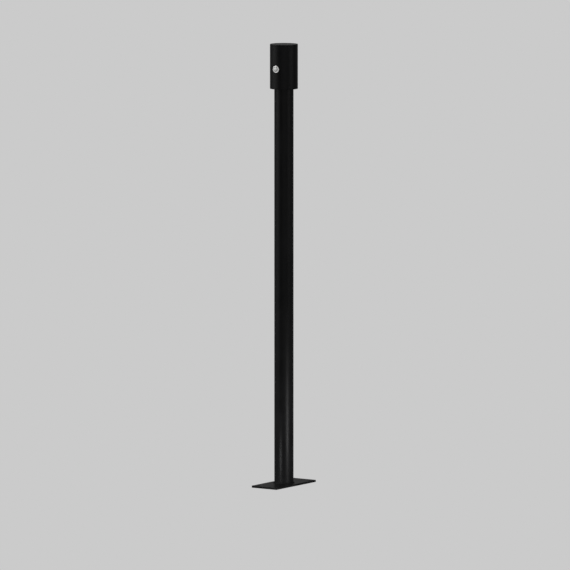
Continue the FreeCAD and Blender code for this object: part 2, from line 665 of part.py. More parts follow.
def button_bezel():
    """Flanged barrel with a thread outside, a bore for the cap in front and one for the switch behind."""
    edge = 0.7
    thread = []
    turns = int((FLANGE_BACK - 1.2 - BARREL_BACK - 0.6) / THREAD_PITCH)
    for i in range(turns):
        root = BARREL_BACK + 0.6 + i * THREAD_PITCH
        thread += [(THREAD_R - THREAD_DEPTH, root), (THREAD_R, root + THREAD_PITCH / 2)]
    groove_low = O_RING_OUT - 0.5
    groove_high = O_RING_OUT + 0.5
    groove_r = BUTTON_O_RING_R + BUTTON_O_RING_SECTION_R + 0.02
    return turned([
        (BARREL_BORE_R, BARREL_BACK), (THREAD_R - THREAD_DEPTH, BARREL_BACK), *thread,
        (THREAD_R - THREAD_DEPTH, FLANGE_BACK - 1.2), (THREAD_R - THREAD_DEPTH, FLANGE_BACK),
        (BUTTON_FLANGE_OD / 2, FLANGE_BACK), (BUTTON_FLANGE_OD / 2, FLANGE_FACE - edge),
        (BUTTON_FLANGE_OD / 2 - edge, FLANGE_FACE), (BARREL_BORE_R + 0.3, FLANGE_FACE),
        (BARREL_BORE_R, FLANGE_FACE - 0.3), (BARREL_BORE_R, groove_high), (groove_r, groove_high),
        (groove_r, groove_low), (BARREL_BORE_R, groove_low), (BARREL_BORE_R, SHOULDER_FRONT),
        (STEM_HOLE_R, SHOULDER_FRONT), (STEM_HOLE_R, SHOULDER_BACK), (BARREL_BORE_R, SHOULDER_BACK),
    ])


def button_gasket():
    """Flat ring between the flange and the spot-faced seat."""
    return ring(BUTTON_FLANGE_OD / 2 - 0.15, THREAD_R + GAP, SEAT, FLANGE_BACK)


def button_washer():
    """Toothed lock washer inside the head, under the nut."""
    washer = ring(WASHER_R, THREAD_R + 0.1, SADDLE_BACK - WASHER_T, SADDLE_BACK)
    notch = block((WASHER_R - 1.2, WASHER_R + 1), (-0.7, 0.7), (SADDLE_BACK - WASHER_T, SADDLE_BACK))
    for i in range(WASHER_TEETH):
        washer = washer.cut(aimed(notch, UP, 360 / WASHER_TEETH * i))
    return washer


def nut_saddle():
    """Moulded spacer, round against the head's bore and flat for the washer."""
    blank = ring(SADDLE_R, THREAD_R + 0.1, SADDLE_BACK, HEAD_BORE_R)
    bore = Part.makeCylinder(HEAD_BORE_R - 0.02, 4 * SADDLE_R, Vector(0, -2 * SADDLE_R, 0), BACK)
    return blank.common(bore)


def button_nut():
    """Hexagon nut on the barrel."""
    front = SADDLE_BACK - WASHER_T
    return hexagon(NUT_FLATS, front - NUT_T, front, 30).cut(Part.makeCylinder(THREAD_R + GAP, HEAD_R))


def button_cap():
    """Domed cap that the finger presses, hollow for the spring."""
    rise = CAP_CROWN - CAP_EDGE
    dome_r = (CAP_SKIRT_R ** 2 + rise ** 2) / (2 * rise)
    skirt = ring(CAP_SKIRT_R, CAP_SKIRT_BORE_R, CAP_SKIRT_BACK, CAP_ROOF)
    roof = Part.makeCylinder(CAP_SKIRT_R, CAP_CROWN - CAP_ROOF, Vector(0, 0, CAP_ROOF))
    ball = Part.makeSphere(dome_r, Vector(0, 0, CAP_CROWN - dome_r))
    cap = skirt.fuse(roof.common(ball)).removeSplitter()
    cap = cap.cut(Part.makeCylinder(CAP_SPIGOT_R + 0.02, CAP_SPIGOT_LENGTH + 0.1, Vector(0, 0, CAP_ROOF)))
    rim = [e for e in cap.Edges if abs(e.BoundBox.ZMax - CAP_EDGE) < 0.01 and e.BoundBox.ZLength < 0.01]
    return cap.makeFillet(0.3, rim)


def button_plunger():
    """Stem behind the cap, through the barrel's shoulder to the switch's contact bridge."""
    head_back = CAP_ROOF - STEM_HEAD_T
    spigot_end = CAP_ROOF + CAP_SPIGOT_LENGTH
    bridge_back = BRIDGE_SEAT - BRIDGE_T
    tip = bridge_back - 0.5
    groove_r = STEM_R - CLIP_GROOVE
    clip_front = CLIP_BACK + CLIP_T
    return turned([
        (0, tip), (STEM_TIP_R, tip), (STEM_TIP_R, bridge_back), (STEM_NECK_R, bridge_back),
        (STEM_NECK_R, BRIDGE_SEAT), (STEM_R, BRIDGE_SEAT), (STEM_R, CLIP_BACK), (groove_r, CLIP_BACK),
        (groove_r, clip_front), (STEM_R, clip_front), (STEM_R, head_back), (STEM_HEAD_R, head_back),
        (STEM_HEAD_R, CAP_ROOF),
        (CAP_SPIGOT_R, CAP_ROOF), (CAP_SPIGOT_R, spigot_end), (0, spigot_end),
    ])


def button_clip():
    """Snap ring in the stem's groove, which stops the cap from coming out."""
    fit = 0.02
    clip = ring(CLIP_OUTER_R, STEM_R - CLIP_GROOVE + fit, CLIP_BACK + fit, CLIP_BACK + CLIP_T - fit)
    return clip.cut(block((-1.2, 1.2), (0, CLIP_OUTER_R), (CLIP_BACK, CLIP_BACK + CLIP_T)))


def return_spring():
    """Compression spring round the stem, between the cap's roof and the barrel's shoulder.

    Its wire is a prism of SPRING_SIDES sides, with the sectional area of the round wire.
    """
    low = SHOULDER_FRONT + SPRING_WIRE_R + 0.03
    high = CAP_ROOF - SPRING_WIRE_R - 0.03
    step = 2 * math.pi / SPRING_SIDES
    corner_r = SPRING_WIRE_R * math.sqrt(step / math.sin(step))
    corners = []
    for i in range(SPRING_SIDES + 1):
        across = corner_r * math.cos(i * step)
        corners.append(Vector(SPRING_COIL_R + across, 0, corner_r * math.sin(i * step)))
    helix = Part.makeHelix((high - low) / SPRING_TURNS, high - low, SPRING_COIL_R)
    coil = Part.Wire(helix.Edges).makePipeShell([Part.makePolygon(corners)], True, True)
    return moved(coil, z=low)


def button_o_ring():
    """O-ring in the barrel's bore, round the cap's skirt."""
    return torus(BUTTON_O_RING_R, BUTTON_O_RING_SECTION_R, O_RING_OUT)


def switch_body():
    """Moulded housing of the contacts, plugged into the back of the barrel."""
    guide = SWITCH_FRONT - BARREL_BACK
    body = turned([
        (STEM_HOLE_R, SWITCH_FRONT), (BARREL_BORE_R - GAP, SWITCH_FRONT),
        (BARREL_BORE_R - GAP, SWITCH_FRONT - guide), (SWITCH_R, BARREL_BACK), (SWITCH_R, 0), (0, 0),
        (0, SWITCH_WALL), (SWITCH_CAVITY_R, SWITCH_WALL), (SWITCH_CAVITY_R, BARREL_BACK - 1.2),
        (STEM_HOLE_R, BARREL_BACK - 1.2),
    ])
    half_t = STRIP_T / 2 + GAP
    half_w = STRIP_W / 2 + GAP
    for side in (-1, 1):
        x = side * PIN_X
        body = body.cut(block((x - half_t, x + half_t), (-half_w, half_w), (0, SWITCH_WALL)))
    return body


CONTACT_FACE = BRIDGE_SEAT - BRIDGE_T - CONTACT_T - BUTTON_TRAVEL - 0.05


def fixed_contacts():
    """Two contact strips that go out through the back of the switch as solder pins."""
    strips = []
    strip_top = CONTACT_FACE - CONTACT_T
    half_t = STRIP_T / 2
    half_w = STRIP_W / 2
    for side in (-1, 1):
        x = side * PIN_X
        shelf_x = sorted((side * (CONTACT_X - RIVET_R), side * (PIN_X + half_t)))
        shelf = block(shelf_x, (-half_w, half_w), (strip_top - STRIP_T, strip_top))
        leg = block((x - half_t, x + half_t), (-half_w, half_w), (0, strip_top))
        rivet = Part.makeCylinder(RIVET_R, CONTACT_T, Vector(side * CONTACT_X, 0, strip_top))
        pin = Part.makeCylinder(PIN_R, PIN_LENGTH + 1, Vector(x, 0, -PIN_LENGTH))
        strips.append(shelf.fuse(leg).fuse(rivet).fuse(pin).removeSplitter())
    return strips


def contact_bridge():
    """Strip on the end of the stem that joins the two contacts when the button is pressed."""
    back = BRIDGE_SEAT - BRIDGE_T
    half_l = CONTACT_X + 1.3
    half_w = BRIDGE_W / 2
    bridge = block((-half_l, half_l), (-half_w, half_w), (back, BRIDGE_SEAT))
    bridge = bridge.cut(Part.makeCylinder(STEM_NECK_R + 0.02, BRIDGE_T, Vector(0, 0, back)))
    for side in (-1, 1):
        point = Vector(side * CONTACT_X, 0, back - CONTACT_T)
        bridge = bridge.fuse(Part.makeCylinder(BRIDGE_POINT_R, CONTACT_T, point))
    return bridge.removeSplitter()


def switch_leads():
    """Two leads from the switch's pins up to the middle terminals."""
    inner = [x for x in pole_positions() if abs(x) < POLE_PITCH]
    leads = []
    for side, x_end in zip((-1, 1), inner):
        leads.append(routed_tube([
            Vector(side * PIN_X, PIN_LENGTH + GAP, BUTTON_Z),
            Vector(side * PIN_X, PIN_LENGTH + 7.6, BUTTON_Z),
            Vector(side * (PIN_X - 0.4), PIN_LENGTH + 7.2, BUTTON_Z + 10.5),
            Vector(x_end, BLOCK_MIDDLE_Y, BLOCK_Z + 5.0),
        ], LEAD_R))
    return leads


def lead_sleeves():
    """Shrink sleeves over the soldered pins."""
    sleeve = ring(SLEEVE_R, LEAD_R + GAP, -PIN_LENGTH - 2.2, -0.1)
    return [on_button_axis(moved(sleeve, side * PIN_X)) for side in (-1, 1)]


def main():
    """Build and write every sub-part."""
    os.makedirs("parts", exist_ok=True)
    export("base_plate", base_plate())
    export("base_weld", base_weld())
    export("post_tube", post_tube())
    export("cable_grommet", cable_grommet())
    export("head_collar", head_collar())
    export("top_disc", top_disc())
    export("collar_set_screws", *set_screws())
    export("collar_o_ring", head_o_ring(COLLAR_GROOVE_Z))
    export("head_grommet", head_grommet())
    export("head_tube", head_tube())
    export("head_cap", head_cap())
    export("cap_o_ring", head_o_ring(CAP_GROOVE_Z))
    export("tie_pillars", *tie_pillars())
    export("cap_screws", *cap_screws())
    export("terminal_bracket", terminal_bracket())
    export("bracket_screws", *bracket_screws())
    export("terminal_block", terminal_block())
    export("terminal_clamps", *terminal_clamps())
    export("terminal_screws", *terminal_screws())
    export("block_screws", *block_screws())
    export("cable_clamp", cable_clamp())
    export("clamp_screws", *clamp_screws())
    export("earth_lug", earth_lug())
    export("earth_screw", earth_screw())
    export("earth_nut", earth_nut())
    export("earth_lead", earth_lead())
    for name, make in (
        ("button_bezel", button_bezel), ("button_gasket", button_gasket), ("nut_saddle", nut_saddle),
        ("button_washer", button_washer), ("button_nut", button_nut), ("button_cap", button_cap),
        ("button_plunger", button_plunger), ("button_clip", button_clip), ("return_spring", return_spring),
        ("button_o_ring", button_o_ring), ("switch_body", switch_body), ("contact_bridge", contact_bridge),
    ):
        export(name, on_button_axis(make()))
    export("fixed_contacts", *[on_button_axis(strip) for strip in fixed_contacts()])
    export("switch_leads", *switch_leads())
    export("lead_sleeves", *lead_sleeves())


main()
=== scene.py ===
"""Looks of the push-button post: coated steel post and foot plate, round head, and a metal push-button.

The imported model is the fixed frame. Outside pieces are rebuilt here with soft edges, a rippled weld and
turned metal, and stand for their CAD nodes. Pieces inside the head keep their CAD shape, apart from the
coil behind the cap, and get finishes of their own. All sizes are in metres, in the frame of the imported
model: +Z up, and the button faces -Y.
"""

from __future__ import annotations

import json
import logging
import math
import random
from dataclasses import dataclass, field
from enum import Enum
from typing import Callable, Iterable, Sequence

import bmesh
import bpy
from mathutils import Matrix, Vector


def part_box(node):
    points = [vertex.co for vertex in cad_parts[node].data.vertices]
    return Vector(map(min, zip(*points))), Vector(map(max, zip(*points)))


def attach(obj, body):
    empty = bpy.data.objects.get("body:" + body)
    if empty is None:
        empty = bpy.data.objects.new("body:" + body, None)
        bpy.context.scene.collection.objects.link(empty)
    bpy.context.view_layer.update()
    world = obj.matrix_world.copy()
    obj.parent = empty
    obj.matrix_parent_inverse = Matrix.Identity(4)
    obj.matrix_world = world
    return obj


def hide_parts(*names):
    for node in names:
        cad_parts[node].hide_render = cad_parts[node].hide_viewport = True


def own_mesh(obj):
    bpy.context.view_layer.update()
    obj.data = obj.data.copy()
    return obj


logging.basicConfig(level=logging.INFO, format="%(message)s")
LOG = logging.getLogger("button_post")

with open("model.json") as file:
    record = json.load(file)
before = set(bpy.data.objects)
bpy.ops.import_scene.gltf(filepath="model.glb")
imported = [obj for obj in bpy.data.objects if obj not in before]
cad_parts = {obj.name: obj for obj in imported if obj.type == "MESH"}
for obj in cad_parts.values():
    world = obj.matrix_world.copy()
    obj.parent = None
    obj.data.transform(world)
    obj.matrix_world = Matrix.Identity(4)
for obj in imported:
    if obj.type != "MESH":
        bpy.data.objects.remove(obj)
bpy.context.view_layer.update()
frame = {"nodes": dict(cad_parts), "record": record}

MM = 0.001
SHARP_ANGLE = math.radians(32)
FULL_TURN = 2 * math.pi
Profile = Sequence[tuple[float, float]]


class Body(Enum):
    """The two rigid bodies that pieces ride on."""

    POST = "post"
    BUTTON = "button"


# -----------------------------------------------------------------------------
# Shader expressions
# -----------------------------------------------------------------------------


class Signal:
    """A shader socket that Python operators can work on."""

    def __init__(self, web: ShaderWeb, socket: bpy.types.NodeSocket) -> None:
        """Wrap one output socket of a node in a web."""
        self.web = web
        self.socket = socket

    def _math(self, operation: str, *values: Signal | float) -> Signal:
        """Add one Math node.

        Args:
            operation: the Math node's operation.
            values: its inputs, in order.

        Returns:
            The node's result.
        """
        return self.web.node("ShaderNodeMath", {"operation": operation}, *values)

    def __add__(self, other: Signal | float) -> Signal:
        """Sum."""
        return self._math("ADD", self, other)

    __radd__ = __add__

    def __mul__(self, other: Signal | float) -> Signal:
        """Product."""
        return self._math("MULTIPLY", self, other)

    __rmul__ = __mul__

    def __sub__(self, other: Signal | float) -> Signal:
        """Difference."""
        return self._math("SUBTRACT", self, other)

    def __rsub__(self, other: float) -> Signal:
        """Difference, from a number."""
        return self._math("SUBTRACT", other, self)

    def sine(self) -> Signal:
        """Sine, in radians."""
        return self._math("SINE", self)

    def root(self) -> Signal:
        """Square root."""
        return self._math("SQRT", self)

    def step(self, low: float, high: float, to_low: float = 0.0, to_high: float = 1.0) -> Signal:
        """Smooth step between two values.

        Args:
            low: input where the step begins.
            high: input where it ends.
            to_low: result before the step.
            to_high: result after it.

        Returns:
            The stepped signal.
        """
        settings = {"interpolation_type": "SMOOTHSTEP"}
        return self.web.node("ShaderNodeMapRange", settings, self, low, high, to_low, to_high)

    def part(self, name: str) -> Signal:
        """One component of a vector, named X, Y or Z."""
        split = self.web.node("ShaderNodeSeparateXYZ", {}, self)
        return Signal(self.web, split.socket.node.outputs[name])


class ShaderWeb:
    """The node tree of one material or world."""

    def __init__(self, tree: bpy.types.NodeTree) -> None:
        """Start on an emptied node tree."""
        self.tree = tree
        tree.nodes.clear()

    def node(self, kind: str, settings: dict[str, object], *values: object, **named: object) -> Signal:
        """Add any node.

        Args:
            kind: the node's type.
            settings: attributes of the node, set before its sockets. "stops" holds a colour ramp's stops.
            values: values or signals for its inputs, in order. None leaves an input alone.
            named: values or signals for its inputs by name, with _ for a space.

        Returns:
            The node's first output.
        """
        made = self.tree.nodes.new(kind)
        for key, value in settings.items():
            if key == "stops":
                self._set_stops(made, value)
            else:
                setattr(made, key, value)
        for index, value in enumerate(values):
            self._feed(made.inputs[index], value)
        for key, value in named.items():
            self._feed(made.inputs[key.replace("_", " ")], value)
        shown = [output for output in made.outputs if output.enabled]
        return Signal(self, shown[0]) if shown else Signal(self, None)

    def _feed(self, socket: bpy.types.NodeSocket, value: object) -> None:
        """Link a signal to a socket, or set its value."""
        if isinstance(value, Signal):
            self.tree.links.new(value.socket, socket)
        elif value is not None:
            socket.default_value = value

    @staticmethod
    def _set_stops(ramp: bpy.types.Node, stops: Sequence[tuple[float, tuple[float, ...]]]) -> None:
        """Give a colour ramp its stops."""
        elements = ramp.color_ramp.elements
        while len(elements) < len(stops):
            elements.new(0.5)
        for element, (position, colour) in zip(elements, stops):
            element.position = position
            element.color = colour

    def object_place(self) -> Signal:
        """Object coordinates, which are the frame's own metres."""
        place = self.node("ShaderNodeTexCoord", {})
        return Signal(self, place.socket.node.outputs["Object"])

    def noise(self, place: Signal, scale: float, detail: float = 2.0, roughness: float = 0.5) -> Signal:
        """Noise between about 0.2 and 0.8, with cells of 1 / scale."""
        return self.node(
            "ShaderNodeTexNoise", {}, Vector=place, Scale=scale, Detail=detail, Roughness=roughness
        )

    def blend(self, factor: Signal, first: Colour, second: Colour) -> Signal:
        """Mix two colours.

        Args:
            factor: 0 for the first colour, 1 for the second.
            first: a colour or a signal.
            second: a colour or a signal.

        Returns:
            The mixed colour.
        """
        mix = self.tree.nodes.new("ShaderNodeMix")
        mix.data_type = "RGBA"
        self._feed(mix.inputs["Factor"], factor)
        colours = [socket for socket in mix.inputs if socket.type == "RGBA"]
        for socket, value in zip(colours, (first, second)):
            self._feed(socket, value if isinstance(value, Signal) else (*value, 1.0))
        return Signal(self, next(socket for socket in mix.outputs if socket.type == "RGBA"))

    def bump(self, height: Signal, strength: float, distance: float) -> Signal:
        """Bump from a height of 0 to 1 that stands for a distance in metres."""
        return self.node("ShaderNodeBump", {}, Strength=strength, Distance=distance, Height=height)


Colour = Sequence[float]


# -----------------------------------------------------------------------------
# Finishes
# -----------------------------------------------------------------------------


@dataclass(frozen=True)
class Finish:
    """A procedural material. Each kind of finish adds its own pattern."""

    name: str
    slot: str

    def material(self) -> bpy.types.Material:
        """Build the material.

        Returns:
            The new material, with its shader tree.
        """
        made = bpy.data.materials.new(self.name)
        made.use_nodes = True
        web = ShaderWeb(made.node_tree)
        shader = self.shader(web, web.object_place())
        web.node("ShaderNodeOutputMaterial", {}, Surface=shader)
        return made

    def shader(self, web: ShaderWeb, place: Signal) -> Signal:
        """Build the surface shader on object coordinates."""
        raise NotImplementedError

    def dress(self, piece: bpy.types.Object) -> None:
        """Put this finish on a piece.

        Args:
            piece: a mesh object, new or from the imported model.
        """
        made = bpy.data.materials.get(self.name) or self.material()
        if not piece.data.materials:
            piece.data.materials.append(made)
        for holder in piece.material_slots:
            holder.material = made


@dataclass(frozen=True)
class PowderCoat(Finish):
    """Black powder coat with a fine texture over a slight orange peel, and a little dust on top faces.

    Level top faces are smoother than the rest by flow, because a molten coat levels out there.
    """

    colour: tuple[float, float, float] = (0.0042, 0.0043, 0.0046)
    worn_colour: tuple[float, float, float] = (0.0075, 0.0076, 0.0080)
    dust_colour: tuple[float, float, float] = (0.045, 0.044, 0.042)
    roughness: float = 0.40
    specular: float = 0.13
    dust: float = 0.10
    flow: float = 0.07

    def shader(self, web: ShaderWeb, place: Signal) -> Signal:
        """Grain, peel, smudges and dust."""
        grain = web.noise(place, 2200.0, 2.0)
        peel = web.noise(place, 240.0, 1.0)
        smudge = web.noise(place, 14.0, 4.0, 0.6)
        specks = web.noise(place, 2400.0, 4.0, 0.7)
        up = web.node("ShaderNodeNewGeometry", {})
        facing_up = Signal(web, up.socket.node.outputs["Normal"]).part("Z")
        flat = facing_up.step(0.9, 1.0)
        drift = web.noise(place, 30.0, 3.0, 0.6).step(0.25, 0.75, 0.4, 1.0)
        settled = facing_up.step(0.6, 1.0) * specks.step(0.35, 0.75) * drift * self.dust
        rough = smudge.step(0.3, 0.75, self.roughness - 0.04, self.roughness + 0.06)
        tone = web.blend(smudge.step(0.35, 0.7), self.colour, self.worn_colour)
        height = grain * 0.7 + peel * 0.3
        return web.node(
            "ShaderNodeBsdfPrincipled",
            {},
            Base_Color=web.blend(settled, tone, self.dust_colour),
            Roughness=rough - flat * self.flow + settled * 0.3,
            Specular_IOR_Level=self.specular,
            Normal=web.bump(height, 0.8, 0.00008),
        )


@dataclass(frozen=True)
class TurnedSteel(Finish):
    """Steel faced on a lathe, with fine rings about an axis along Y."""

    colour: tuple[float, float, float] = (0.95, 0.95, 0.94)
    dark_colour: tuple[float, float, float] = (0.80, 0.80, 0.79)
    roughness: float = 0.40
    centre: tuple[float, float] = (0.0, 0.0)
    ring_pitch: float = 0.00022

    def shader(self, web: ShaderWeb, place: Signal) -> Signal:
        """Rings about the axis, blurred by noise, and faint handling marks."""
        across = place.part("X") - self.centre[0]
        height = place.part("Z") - self.centre[1]
        radius = (across * across + height * height).root()
        wander = web.noise(place, 900.0, 3.0)
        rings = (radius * (FULL_TURN / self.ring_pitch) + wander * 5.0).sine() * 0.5 + 0.5
        marks = web.noise(place, 260.0, 5.0, 0.65)
        tone = web.blend(marks.step(0.35, 0.7) * 0.6 + rings * 0.4, self.dark_colour, self.colour)
        return web.node(
            "ShaderNodeBsdfPrincipled",
            {},
            Base_Color=tone,
            Metallic=1.0,
            Roughness=rings * 0.06 + marks.step(0.3, 0.8, self.roughness - 0.05, self.roughness + 0.07),
            Normal=web.bump(rings * 0.7 + marks * 0.3, 0.30, 0.000012),
        )


@dataclass(frozen=True)
class BlastedSteel(Finish):
    """Steel with a fine bead-blasted matt surface."""

    colour: tuple[float, float, float] = (0.66, 0.66, 0.65)
    dark_colour: tuple[float, float, float] = (0.57, 0.57, 0.56)
    roughness: float = 0.42

    def shader(self, web: ShaderWeb, place: Signal) -> Signal:
        """Fine pits and a cloudy tone."""
        pits = web.noise(place, 5200.0, 2.0)
        cloud = web.noise(place, 320.0, 4.0, 0.6)
        return web.node(
            "ShaderNodeBsdfPrincipled",
            {},
            Base_Color=web.blend(cloud.step(0.35, 0.7), self.dark_colour, self.colour),
            Metallic=1.0,
            Roughness=cloud.step(0.3, 0.75, self.roughness - 0.03, self.roughness + 0.05),
            Normal=web.bump(pits, 0.35, 0.00002),
        )


@dataclass(frozen=True)
class PlatedSteel(Finish):
    """Plated or bare metal parts, with a spangle of tone and fine draw marks."""

    colour: tuple[float, float, float] = (0.62, 0.63, 0.66)
    dark_colour: tuple[float, float, float] = (0.42, 0.43, 0.46)
    roughness: float = 0.30

    def shader(self, web: ShaderWeb, place: Signal) -> Signal:
        """Crystal spangle, clouds and scratches."""
        settings = {"feature": "F1"}
        spangle = web.node("ShaderNodeTexVoronoi", settings, Vector=place, Scale=700.0)
        cloud = web.noise(place, 120.0, 4.0, 0.6)
        scratch = web.noise(place, 4200.0, 2.0)
        tone = spangle.step(0.1, 0.7) * 0.4 + cloud.step(0.3, 0.7) * 0.6
        return web.node(
            "ShaderNodeBsdfPrincipled",
            {},
            Base_Color=web.blend(tone, self.dark_colour, self.colour),
            Metallic=1.0,
            Roughness=cloud.step(0.3, 0.75, self.roughness - 0.06, self.roughness + 0.10),
            Normal=web.bump(scratch, 0.25, 0.00001),
        )


@dataclass(frozen=True)
class Moulding(Finish):
    """Moulded plastic or rubber, with the fine spark texture of its mould."""

    colour: tuple[float, float, float] = (0.03, 0.03, 0.03)
    pale_colour: tuple[float, float, float] = (0.045, 0.045, 0.045)
    roughness: float = 0.55
    grain_scale: float = 1800.0
    grain_height: float = 0.00003

    def shader(self, web: ShaderWeb, place: Signal) -> Signal:
        """Spark texture and a slight bloom."""
        grain = web.noise(place, self.grain_scale, 3.0, 0.6)
        bloom = web.noise(place, 90.0, 4.0, 0.6)
        return web.node(
            "ShaderNodeBsdfPrincipled",
            {},
            Base_Color=web.blend(bloom.step(0.35, 0.7), self.colour, self.pale_colour),
            Roughness=bloom.step(0.3, 0.75, self.roughness - 0.05, self.roughness + 0.08),
            Normal=web.bump(grain, 0.3, self.grain_height),
        )


@dataclass(frozen=True)
class Insulation(Finish):
    """Cable insulation in one colour, with a spiral stripe of a second one where that differs."""

    colour: tuple[float, float, float] = (0.03, 0.10, 0.42)
    stripe_colour: tuple[float, float, float] = (0.03, 0.10, 0.42)
    roughness: float = 0.38
    stripe_pitch: float = 0.008

    def shader(self, web: ShaderWeb, place: Signal) -> Signal:
        """A stripe that winds up the lead, and extrusion marks."""
        rise = place.part("Z") + place.part("X") * 1.4 + place.part("Y") * 1.1
        band = (rise * (FULL_TURN / self.stripe_pitch)).sine().step(0.25, 0.45)
        marks = web.noise(place, 800.0, 3.0)
        return web.node(
            "ShaderNodeBsdfPrincipled",
            {},
            Base_Color=web.blend(band, self.colour, self.stripe_colour),
            Roughness=marks.step(0.3, 0.75, self.roughness - 0.05, self.roughness + 0.08),
            Normal=web.bump(marks, 0.2, 0.00003),
        )


# -----------------------------------------------------------------------------
# Shapes
# -----------------------------------------------------------------------------


class Shape:
    """A mesh in the making, on bmesh operators."""

    def __init__(self) -> None:
        """Start empty."""
        self.bm = bmesh.new()

    def polyline(self, corners: Iterable[Vector], closed: bool = False) -> list[bmesh.types.BMEdge]:
        """Add a wire through some corners.

        Args:
            corners: places of its vertices, in order.
            closed: whether the last joins the first.

        Returns:
            The new edges.
        """
        verts = [self.bm.verts.new(corner) for corner in corners]
        edges = [self.bm.edges.new(pair) for pair in zip(verts, verts[1:])]
        if closed:
            edges.append(self.bm.edges.new((verts[-1], verts[0])))
        return edges

    def lathe(self, profile: Profile, steps: int, closed: bool = True) -> None:
        """Turn a half section about Z.

        Args:
            profile: (radius, height) corners.
            steps: facets round the axis.
            closed: whether the section is a closed loop, as for a ring.
        """
        edges = self.polyline((Vector((r, 0.0, z)) for r, z in profile), closed)
        verts = list({v for e in edges for v in e.verts})
        bmesh.ops.spin(
            self.bm, geom=verts + edges, cent=(0, 0, 0), axis=(0, 0, 1), angle=FULL_TURN, steps=steps,
            use_merge=True,
        )
        self.weld()

    def circle(
        self, radius: float, steps: int, centre: Vector, turn: float = 0.0
    ) -> list[bmesh.types.BMEdge]:
        """Add a circle of edges in a level plane, and return them."""
        matrix = Matrix.Translation(centre) @ Matrix.Rotation(turn, 4, "Z")
        made = bmesh.ops.create_circle(self.bm, segments=steps, radius=radius, matrix=matrix)
        return list({e for v in made["verts"] for e in v.link_edges})

    def pull(
        self, edges: list[bmesh.types.BMEdge], move: Callable[[Vector], Vector]
    ) -> list[bmesh.types.BMEdge]:
        """Extrude a loop of edges.

        Args:
            edges: the loop.
            move: gives each new vertex its place from the old one.

        Returns:
            The loop's new edges.
        """
        made = bmesh.ops.extrude_edge_only(self.bm, edges=edges)["geom"]
        for vert in made:
            if isinstance(vert, bmesh.types.BMVert):
                vert.co = move(vert.co)
        return [item for item in made if isinstance(item, bmesh.types.BMEdge)]

    def fill(self, edges: list[bmesh.types.BMEdge]) -> None:
        """Fill a flat region between loops."""
        bmesh.ops.triangle_fill(self.bm, use_beauty=True, use_dissolve=False, edges=edges)

    def weld(self, distance: float = 1e-6) -> None:
        """Merge vertices that share a place."""
        bmesh.ops.remove_doubles(self.bm, verts=self.bm.verts[:], dist=distance)

    def soften(self, width: float, segments: int = 3, where: Callable[[Vector], bool] | None = None) -> None:
        """Round the sharp edges.

        Args:
            width: bevel width.
            segments: facets across each rounded edge.
            where: tells which edges count, from their middle. All do when it is left out.
        """
        bmesh.ops.recalc_face_normals(self.bm, faces=self.bm.faces[:])
        sharp = [
            e for e in self.bm.edges
            if e.is_manifold and e.calc_face_angle(0.0) > SHARP_ANGLE
            and (where is None or where((e.verts[0].co + e.verts[1].co) / 2))
        ]
        bmesh.ops.bevel(
            self.bm, geom=sharp, offset=width, affect="EDGES", segments=segments, profile=0.5, material=-1,
            clamp_overlap=True,
        )

    def turn(self, angle: float, axis: str) -> None:
        """Turn everything about an axis through the origin."""
        bmesh.ops.rotate(
            self.bm, verts=self.bm.verts[:], cent=(0, 0, 0), matrix=Matrix.Rotation(angle, 3, axis)
        )

    def shift(self, way: Vector) -> None:
        """Move everything."""
        bmesh.ops.translate(self.bm, verts=self.bm.verts[:], vec=way)

    def copied_to(self, places: Sequence[Vector]) -> None:
        """Repeat everything at several places, and drop the first copy."""
        start = self.bm.verts[:] + self.bm.edges[:] + self.bm.faces[:]
        for place in places:
            made = bmesh.ops.duplicate(self.bm, geom=start)["geom"]
            verts = [item for item in made if isinstance(item, bmesh.types.BMVert)]
            bmesh.ops.translate(self.bm, verts=verts, vec=place)
        first = [item for item in start if isinstance(item, bmesh.types.BMVert)]
        bmesh.ops.delete(self.bm, geom=first, context="VERTS")

    def piece(self, name: str, body: Body, stands_for: str, finish: Finish) -> bpy.types.Object:
        """Finish the mesh and put it in the scene.

        Args:
            name: the piece's name.
            body: the body that it rides on.
            stands_for: the CAD node that it replaces.
            finish: its material.

        Returns:
            The new object.
        """
        bmesh.ops.recalc_face_normals(self.bm, faces=self.bm.faces[:])
        open_edges = sum(1 for e in self.bm.edges if not e.is_manifold)
        for face in self.bm.faces:
            face.smooth = True
        mesh = bpy.data.meshes.new(name)
        self.bm.to_mesh(mesh)
        self.bm.free()
        mesh.set_sharp_from_angle(angle=SHARP_ANGLE)
        made = bpy.data.objects.new(name, mesh)
        bpy.context.scene.collection.objects.link(made)
        even = made.modifiers.new("even_normals", "WEIGHTED_NORMAL")
        even.keep_sharp = True
        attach(made, body.value)
        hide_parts(stands_for)
        finish.dress(made)
        LOG.info("%s: %d faces, %d open edges, rides on %s", name, len(mesh.polygons), open_edges, body.value)
        return made


def span(node: str) -> tuple[Vector, Vector]:
    """Lowest and highest corner of a CAD node."""
    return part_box(node)


# -----------------------------------------------------------------------------
# Foot: plate, weld and cable bush
# -----------------------------------------------------------------------------


